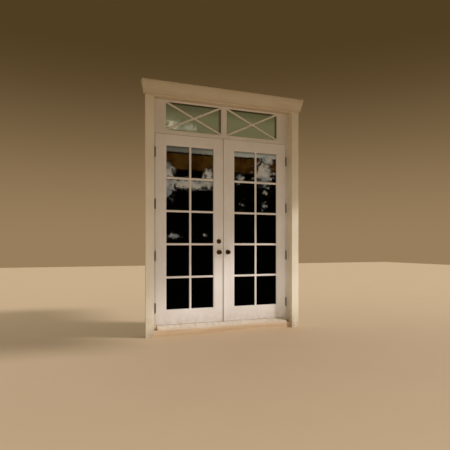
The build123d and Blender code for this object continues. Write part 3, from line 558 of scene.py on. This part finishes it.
# %% [markdown]
# Copies of the head are turned and moved to each hole, and joined into one piece for each kind of
# plate. A hinge has two plates, one on the leaf and one on the jamb, and each needs its own
# screws, because the leaf takes its half with it when it swings. Nobody drives screws to one
# angle, so each copy on a plate gets a twist of its own.

# %% Hinge screws
def set_copies(name, source, places, material, body):
    """Copies a mesh to each place, joins the copies and makes them ride on a body."""
    bpy.ops.object.select_all(action="DESELECT")
    for matrix in places:
        copy = bpy.data.objects.new(name, source.data.copy())
        copy.data.transform(matrix)
        bpy.context.scene.collection.objects.link(copy)
        copy.select_set(True)
        bpy.context.view_layer.objects.active = copy
    if len(places) > 1:
        bpy.ops.object.join()
    joined = bpy.context.view_layer.objects.active
    joined.name = name
    joined.data.materials.clear()
    joined.data.materials.append(material)
    bpy.ops.object.shade_smooth_by_angle(angle=math.radians(35))
    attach(joined, body)
    print(name, "copies", len(places), "faces", len(joined.data.polygons))


def facing_x(way, turn=0.0):
    """Turns a piece that was modelled facing up to face along x, with a twist of its own."""
    return Matrix.Rotation(way * math.pi / 2, 4, "Y") @ Matrix.Rotation(turn, 4, "Z")


hinge_count = 4
hinge_line_x = 0.9225
closed_gap = 0.0002
plate_half = 0.057
plate_gap = 0.00012
screw_rises = (-0.043, -0.0145, 0.0145, 0.043)
screw_depths = (0.011, 0.025, 0.011, 0.025)
twist_per_hinge = 0.7
twist_per_metre = 1100.0


def hinge_middles(node, half):
    """Middle heights of the four hinges, from the ends of a node that has a part on each."""
    low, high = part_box(node)
    first, last = low.z + half, high.z - half
    return [first + (last - first) * number / (hinge_count - 1) for number in range(hinge_count)]


for side, way in (("left", -1), ("right", 1)):
    for part, body, out in (("leaf", f"{side}_leaf", 1), ("jamb", "frame", -1)):
        node = f"{side}_{part}_hinge_plates"
        plate_face = way * (hinge_line_x - out * closed_gap)
        sunk = plate_face + way * out * (plate_gap - head_depth / 2)
        places = []
        for number, middle in enumerate(hinge_middles(node, plate_half)):
            for rise, depth in zip(screw_rises, screw_depths):
                twist = twist_per_hinge * number + twist_per_metre * rise
                spot = Matrix.Translation((sunk, depth, middle + rise))
                places.append(spot @ facing_x(way * out, twist))
        set_copies(f"{side}_{part}_hinge_screws", screw_head, places, bolt_bronze, body)

# %% [markdown]
# The latch and the deadbolt each have a faceplate in the leaf's edge, and a strike opposite.
# Two screws hold each. The same screw head serves, a little way in from the plate's ends.

# %% Faceplate and strike screws
faceplate_half = 0.0285
screw_inset = 0.0065
twist_by_end = 0.6
lock_levels = [sum(corner.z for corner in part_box(name)) / 2 for name in ("latch_bolt", "dead_bolt")]
leaf_middle = sum(corner.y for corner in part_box("latch_bolt")) / 2
faceplate_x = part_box("latch_case")[1].x
strike_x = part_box("strike_plates")[0].x
for name, body, x, out in (("faceplate_screws", "left_leaf", faceplate_x, 1),
                           ("strike_screws", "right_leaf", strike_x, -1)):
    places = []
    for level in lock_levels:
        for end in (-1, 1):
            spot = (x + out * (plate_gap - head_depth / 2), leaf_middle,
                    level + end * (faceplate_half - screw_inset))
            places.append(Matrix.Translation(spot) @ facing_x(out, twist_by_end * end + level))
    set_copies(name, screw_head, places, bolt_bronze, body)
bpy.data.objects.remove(screw_head)

# %% [markdown]
# A butt hinge's pin has a small turned tip at each end. The tip is drawn as a half profile and
# spun round its axis, the way it is cut on a lathe: a short collar and a low dome.

# %% Turned tips on the hinge pins
tip_radius = 0.0052
tip_height = 0.0042
tip_collar = 0.0006
tip_steps = 7
pin_line_y = -0.008
pin_reach = 0.061


def spun(profile, name, steps=28):
    """Spins a profile of radius and height points round z and closes it."""
    mesh = bpy.data.meshes.new(name)
    mesh.from_pydata([(radius, 0.0, rise) for radius, rise in profile],
                     [(point, point + 1) for point in range(len(profile) - 1)], [])
    made = bpy.data.objects.new(name, mesh)
    bpy.context.scene.collection.objects.link(made)
    bpy.ops.object.select_all(action="DESELECT")
    made.select_set(True)
    bpy.context.view_layer.objects.active = made
    bpy.ops.object.mode_set(mode="EDIT")
    bpy.ops.mesh.select_all(action="SELECT")
    bpy.ops.mesh.spin(steps=steps, angle=2 * math.pi, center=(0, 0, 0), axis=(0, 0, 1))
    bpy.ops.mesh.select_all(action="SELECT")
    bpy.ops.mesh.remove_doubles(threshold=0.000001)
    bpy.ops.mesh.normals_make_consistent(inside=False)
    bpy.ops.object.mode_set(mode="OBJECT")
    return made


dome_angles = [math.radians(90 * step / tip_steps) for step in range(tip_steps)]
dome = [(tip_radius * math.cos(angle), tip_collar + (tip_height - tip_collar) * math.sin(angle))
        for angle in dome_angles]
pin_tip = spun([(0.0, 0.0), (tip_radius, 0.0)] + dome + [(0.0, tip_height)], "pin_tip")
tip_places = []
for way in (-1, 1):
    for middle in hinge_middles("hinge_pins", pin_reach):
        for end, turn in ((-1, math.pi), (1, 0.0)):
            spot = Matrix.Translation((way * hinge_line_x, pin_line_y, middle + end * pin_reach))
            tip_places.append(spot @ Matrix.Rotation(turn, 4, "X"))
set_copies("hinge_pin_tips", pin_tip, tip_places, hinge_bronze, "frame")
bpy.data.objects.remove(pin_tip)

# %% [markdown]
# The deadbolt is turned with a key from outside. Its plug is a small disc in the middle of the
# cylinder's face, with a rim round it and an upright keyway. It is spun from a stepped profile,
# and the keyway is cut by a Boolean. A shallow slot is enough, because nobody looks behind it.

# %% Key plug of the deadbolt
plug_radius = 0.0078
plug_face = 0.0005
plug_chamfer = 0.0003
rim_radius = 0.0098
rim_height = 0.0011
rim_chamfer = 0.0004
rim_outer_edge, rim_inner_edge = 0.6 * rim_height, 0.55 * rim_height
sunk_foot = -0.0006
keyway_size = (0.0016, 0.0088, 0.0016)
keyway_middle = 0.0004
plug_profile = [(0.0, sunk_foot), (rim_radius, sunk_foot), (rim_radius, rim_outer_edge),
                (rim_radius - rim_chamfer, rim_height), (plug_radius + rim_chamfer, rim_height),
                (plug_radius, rim_inner_edge), (plug_radius - plug_chamfer, plug_face),
                (0.0, plug_face)]
key_plug = spun(plug_profile, "key_plug", steps=48)
bpy.ops.object.select_all(action="DESELECT")
bpy.ops.mesh.primitive_cube_add(size=1.0, location=(0, 0, keyway_middle))
keyway = bpy.context.object
keyway.scale = keyway_size
finish_edit(keyway)
apply_modifier(key_plug, "BOOLEAN", object=keyway, operation="DIFFERENCE", solver="EXACT")
bpy.data.objects.remove(keyway)
cylinder_low, cylinder_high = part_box("deadbolt_cylinder")
plug_place = Matrix.Translation(((cylinder_low.x + cylinder_high.x) / 2, cylinder_low.y,
                                 (cylinder_low.z + cylinder_high.z) / 2))
set_copies("deadbolt_key_plug", key_plug, [plug_place @ Matrix.Rotation(math.pi / 2, 4, "X")],
           bolt_bronze, "left_leaf")
bpy.data.objects.remove(key_plug)

# %% [markdown]
# The setting is a plain pale floor. It stays out of the glass, which would otherwise mirror it.

# %% Floor
floor_size = 40.0
floor_pale, floor_paler = srgb(208, 180, 144), srgb(213, 185, 149)
bpy.ops.object.select_all(action="DESELECT")
bpy.ops.mesh.primitive_plane_add(size=floor_size, location=(0, 0, 0))
floor = bpy.context.object
floor.name = "floor"
floor.visible_glossy = False
floor_paint, tree, shader = new_material("floor, plain")
mottle = noise(tree, object_vector(tree), 1.5, 3.0)
tree.links.new(mix_colour(tree, mottle, floor_pale, floor_paler), shader.inputs["Base Color"])
shader.inputs["Roughness"].default_value = 0.75
floor.data.materials.append(floor_paint)
print("floor", floor_size, "m wide")

# %% [markdown]
# The surround fills every shadow. Near the horizon it is warm and dim, as walls and planting are,
# and higher up it is brighter and neutral. The canopy that comes later keeps it off the top. The
# camera itself sees a plain brown backdrop, and rays that pass through glass find a dim room.

# %% Surround that fills the shadows
def background(tree, colour):
    """One plain light of the surround."""
    lit = add_node(tree, "ShaderNodeBackground", inputs={"Color": colour, "Strength": 1.0})
    return lit.outputs[0]


backdrop_low, backdrop_high = srgb(152, 126, 92), srgb(80, 62, 34)
fill_low, fill_high = (0.36, 0.28, 0.17, 1.0), (0.57, 0.56, 0.52, 1.0)
room_light = (0.30, 0.29, 0.22, 1.0)
world = bpy.data.worlds.new("studio")
bpy.context.scene.world = world
world.use_nodes = True
tree = world.node_tree
tree.nodes.clear()
direction = add_node(tree, "ShaderNodeTexCoord").outputs["Generated"]
parts = add_node(tree, "ShaderNodeSeparateXYZ", inputs={0: direction}).outputs
fill_colour = mix_colour(tree, spread(tree, parts["Z"], 0.08, 0.5), fill_low, fill_high)
backdrop = mix_colour(tree, spread(tree, parts["Z"], 0.0, 0.42), backdrop_low, backdrop_high)
filling = background(tree, fill_colour)
behind = background(tree, backdrop)
indoors = background(tree, room_light)
print("fill", fill_low[:3], "to", fill_high[:3])

# %% [markdown]
# A studio shot of glass also needs something to mirror, so mirrored rays alone see a picture: a
# pale soffit, a brown beam under it, and broken cloud behind dark trees. It is laid out by a ray's
# direction, as any painted sky is. Its numbers are chosen so that a flat pane, seen from where the
# camera stands, mirrors a place of the picture at the door place with the same numbers: metres
# across from the middle of the doors, and metres up from the floor.

# %% Places in the mirrored picture
picture_distance = 5.493
picture_across = -2.120
picture_rise = 1.117
least_ahead = 0.05
ahead = math_node(tree, "MAXIMUM", math_node(tree, "ABSOLUTE", parts["Y"]), least_ahead)


def on_picture(slant, middle):
    """Where a ray meets the picture, in metres, from one part of its direction."""
    reached = math_node(tree, "MULTIPLY", math_node(tree, "DIVIDE", slant, ahead), picture_distance)
    return math_node(tree, "ADD", reached, middle)


def wobble(value, size):
    """Turns a noise value into a push of up to half this size either way."""
    return math_node(tree, "MULTIPLY", math_node(tree, "SUBTRACT", value, 0.5), size)


across = on_picture(parts["X"], picture_across)
up = on_picture(parts["Z"], picture_rise)
spot = add_node(tree, "ShaderNodeCombineXYZ", inputs={0: across, 1: up, 2: 0.0}).outputs[0]
leafage = noise(tree, spot, 22.0, 6.0, 0.72)
drift = noise(tree, spot, 6.0, 3.0, 0.6)
print("picture nodes", len(tree.nodes))

# %% [markdown]
# A patch of cloud is an ellipse, solid in the middle. The leaf noise tears it up, as a tree tears
# up the sky behind it. Each row below gives a patch's place across and up, its half width and
# half height, and how thick it is: a thick patch stays whole, a thin one breaks into specks.

# %% Cloud behind the trees
clouds = [(-0.76, 2.05, 0.08, 0.11, 1.45), (-0.20, 2.03, 0.08, 0.09, 1.45), (0.23, 2.02, 0.07, 0.07, 1.2),
          (0.58, 2.10, 0.12, 0.15, 1.5), (0.63, 2.29, 0.09, 0.07, 1.45), (-0.47, 1.915, 0.36, 0.055, 1.6),
          (-0.77, 1.86, 0.09, 0.12, 1.5), (-0.69, 1.25, 0.08, 0.035, 1.3), (-0.26, 1.26, 0.03, 0.03, 1.15),
          (-0.68, 2.65, 0.12, 0.065, 1.3), (-0.47, 2.64, 0.10, 0.04, 1.3),
          (0.62, 1.88, 0.10, 0.10, 0.75), (0.60, 1.66, 0.08, 0.12, 0.7), (0.25, 1.67, 0.08, 0.10, 0.6)]
cloud_white, cloud_gold = (1.9, 1.85, 1.6, 1.0), (4.0, 3.3, 2.4, 1.0)
tear = 5.5
torn_from, torn_full = 0.45, 0.75
solid = -2.0
for x, z, half_width, half_height, thickness in clouds:
    away_by = add_node(tree, "ShaderNodeVectorMath", {"operation": "SUBTRACT"},
                       {0: spot, 1: (x, z, 0.0)}).outputs[0]
    shaped = add_node(tree, "ShaderNodeVectorMath", {"operation": "MULTIPLY"},
                      {0: away_by, 1: (1 / half_width, 1 / half_height, 0.0)}).outputs[0]
    reach = add_node(tree, "ShaderNodeVectorMath", {"operation": "LENGTH"}, {0: shaped}).outputs["Value"]
    solid = math_node(tree, "MAXIMUM", solid, math_node(tree, "SUBTRACT", thickness, reach))
torn = math_node(tree, "ADD", solid, wobble(leafage, tear))
cloud = spread(tree, torn, torn_from, torn_full)
cloud_colour = mix_colour(tree, spread(tree, drift, 0.4, 0.6), cloud_white, cloud_gold)
print("patches of cloud", len(clouds))

# %% [markdown]
# The beam and the soffit are level bands with ragged lower edges. The soffit starts with a bright
# strip, falls off to a dim olive as it goes up, and is dimmer still to the left.

# %% Beam and soffit
beam_low, beam_high, soffit_low = 2.10, 2.29, 2.315
beam_edge = 0.01
beam_dark, beam_pale = (0.28, 0.085, 0.006, 1.0), (0.60, 0.26, 0.04, 1.0)
strip_from, strip_to = 2.345, 2.385
dim_from, dim_to = 2.42, 2.62
strip_light, soffit_pale, soffit_dim = (3.3, 3.0, 2.2, 1.0), (1.5, 1.35, 0.95, 1.0), (0.55, 0.50, 0.26, 1.0)
left_from, left_to, left_share = 0.3, -0.7, 0.68
soffit_left = (0.3, 0.27, 0.2, 1.0)
night = (0.006, 0.005, 0.003, 1.0)
ragged = 0.05

beam_colour = mix_colour(tree, spread(tree, drift, 0.35, 0.65), beam_dark, beam_pale)
soffit_colour = mix_colour(tree, spread(tree, up, strip_from, strip_to), strip_light, soffit_pale)
soffit_colour = mix_colour(tree, spread(tree, up, dim_from, dim_to), soffit_colour, soffit_dim)
leftward = spread(tree, across, left_from, left_to, 0.0, left_share)
soffit_colour = mix_colour(tree, leftward, soffit_colour, soffit_left)
rough_up = math_node(tree, "ADD", up, wobble(leafage, ragged))
over_beam_foot = spread(tree, rough_up, beam_low - beam_edge, beam_low + beam_edge)
under_beam_top = spread(tree, up, beam_high + beam_edge, beam_high)
on_beam = math_node(tree, "MULTIPLY", over_beam_foot, under_beam_top)
on_soffit = spread(tree, rough_up, soffit_low - 0.004, soffit_low + 0.008)
view_out = mix_colour(tree, on_beam, night, beam_colour)
view_out = mix_colour(tree, on_soffit, view_out, soffit_colour)
view_out = mix_colour(tree, cloud, view_out, cloud_colour)
print("beam", beam_low, "to", beam_high, "soffit from", soffit_low)

# %% [markdown]
# The Light Path node tells what kind of ray asks, so one surround can answer each kind in its own
# way: a fill for shadows, the picture for mirrors, the room behind glass, the backdrop for the
# camera.

# %% Put the surround together
def choose(tree, factor, first, second):
    """Picks one of two shaders by a factor."""
    return add_node(tree, "ShaderNodeMixShader", inputs={0: factor, 1: first, 2: second}).outputs[0]


mirrored = background(tree, view_out)
ray = add_node(tree, "ShaderNodeLightPath").outputs
shown = choose(tree, ray["Is Glossy Ray"], filling, mirrored)
shown = choose(tree, ray["Is Transmission Ray"], shown, indoors)
shown = choose(tree, ray["Is Camera Ray"], shown, behind)
add_node(tree, "ShaderNodeOutputWorld", inputs={"Surface": shown})
print("surround nodes", len(tree.nodes))

# %% [markdown]
# The key light is a low sun from the right. Its disc is seven degrees wide, much more than the
# real one, so that the edges of its shadows are soft.

# %% Key light
def aim(thing, place, target):
    """Places a light or a camera and turns its -z axis towards a point."""
    thing.location = place
    thing.rotation_euler = (Vector(target) - Vector(place)).to_track_quat("-Z", "Y").to_euler()


sun_bearing = math.radians(63)
sun_height = math.radians(30.0)
sun_data = bpy.data.lights.new("key", "SUN")
sun_data.energy = 2.37
sun_data.angle = math.radians(7)
sun_data.color = (0.98, 0.96, 1.0)
key = bpy.data.objects.new("key", sun_data)
bpy.context.scene.collection.objects.link(key)
away = Vector((math.sin(sun_bearing) * math.cos(sun_height),
               -math.cos(sun_bearing) * math.cos(sun_height), math.sin(sun_height)))
aim(key, away * 10, (0, 0, 0))
print("key from", [round(part, 3) for part in away])

# %% [markdown]
# A lamp lies on the floor in front of the doors and faces up, as light thrown back by a terrace.
# It lifts the foot of the doors, and neither the camera nor the glass sees it.

# %% Low fill
low_place = Vector((0.7, -1.225, 0.02))
low_data = bpy.data.lights.new("low fill", "AREA")
low_data.shape = "RECTANGLE"
low_data.size = 5.0
low_data.size_y = 1.75
low_data.energy = 28.0
low_data.color = (0.97, 0.97, 1.0)
low_fill = bpy.data.objects.new("low fill", low_data)
bpy.context.scene.collection.objects.link(low_fill)
low_fill.visible_glossy = False
low_fill.visible_camera = False
aim(low_fill, low_place, (low_place.x, low_place.y, 1.0))
print("low fill", low_data.size, "by", low_data.size_y, "m")

# %% [markdown]
# Two matt panels shape the light. A canopy shades the top, as a deep porch does. A flag, as a
# photographer calls a hanging panel, keeps the key off the upper part, so that a soft slanting
# edge of light crosses the leaves.

# %% Shading canopy and flag
panel_dark, panel_brown = srgb(70, 52, 30), srgb(76, 57, 33)
panel_cloth, tree, shader = new_material("panel, matt")
weave = noise(tree, object_vector(tree), 2.0)
tree.links.new(mix_colour(tree, weave, panel_dark, panel_brown), shader.inputs["Base Color"])
shader.inputs["Roughness"].default_value = 1.0


def shade(name, length, width, place, turn):
    """A matt panel that only throws shade: neither the camera nor the glass sees it."""
    bpy.ops.object.select_all(action="DESELECT")
    bpy.ops.mesh.primitive_plane_add(size=1.0, location=place, rotation=(0, turn, 0))
    panel = bpy.context.object
    panel.name = name
    panel.scale = (length, width, 1.0)
    finish_edit(panel)
    panel.visible_camera = False
    panel.visible_glossy = False
    panel.visible_transmission = False
    panel.data.materials.append(panel_cloth)
    print(name, length, "by", width, "m")


canopy_level = 3.32
canopy_length = 7.0
canopy_front, canopy_back = -3.0, 0.4
shade("canopy", canopy_length, canopy_back - canopy_front,
      (0, (canopy_front + canopy_back) / 2, canopy_level), 0.0)
flag_height, flag_width = 4.0, 2.6
flag_x, flag_y, flag_low = 2.6, -1.4, 2.67
shade("flag", flag_height, flag_width, (flag_x, flag_y, flag_low + flag_height / 2), math.pi / 2)

# %% [markdown]
# The camera stands 1.1 m over the floor and to the left, level, with a moderate lens. Its sensor
# is shifted a little, as an architectural photographer does to keep the uprights straight. The
# Standard view shows colours as they are given.

# %% Camera
camera_place = (-2.120, -5.493, 1.117)
camera_yaw = math.radians(21.224)
camera_data = bpy.data.cameras.new("camera")
camera_data.lens = 35.64
camera_data.sensor_width = 36.0
camera_data.shift_y = 0.0471
camera = bpy.data.objects.new("camera", camera_data)
bpy.context.scene.collection.objects.link(camera)
camera.location = camera_place
camera.rotation_euler = (math.pi / 2, 0, -camera_yaw)
bpy.context.scene.camera = camera
bpy.context.scene.view_settings.view_transform = "Standard"
print("camera", camera_place, "lens", round(camera_data.lens, 2))
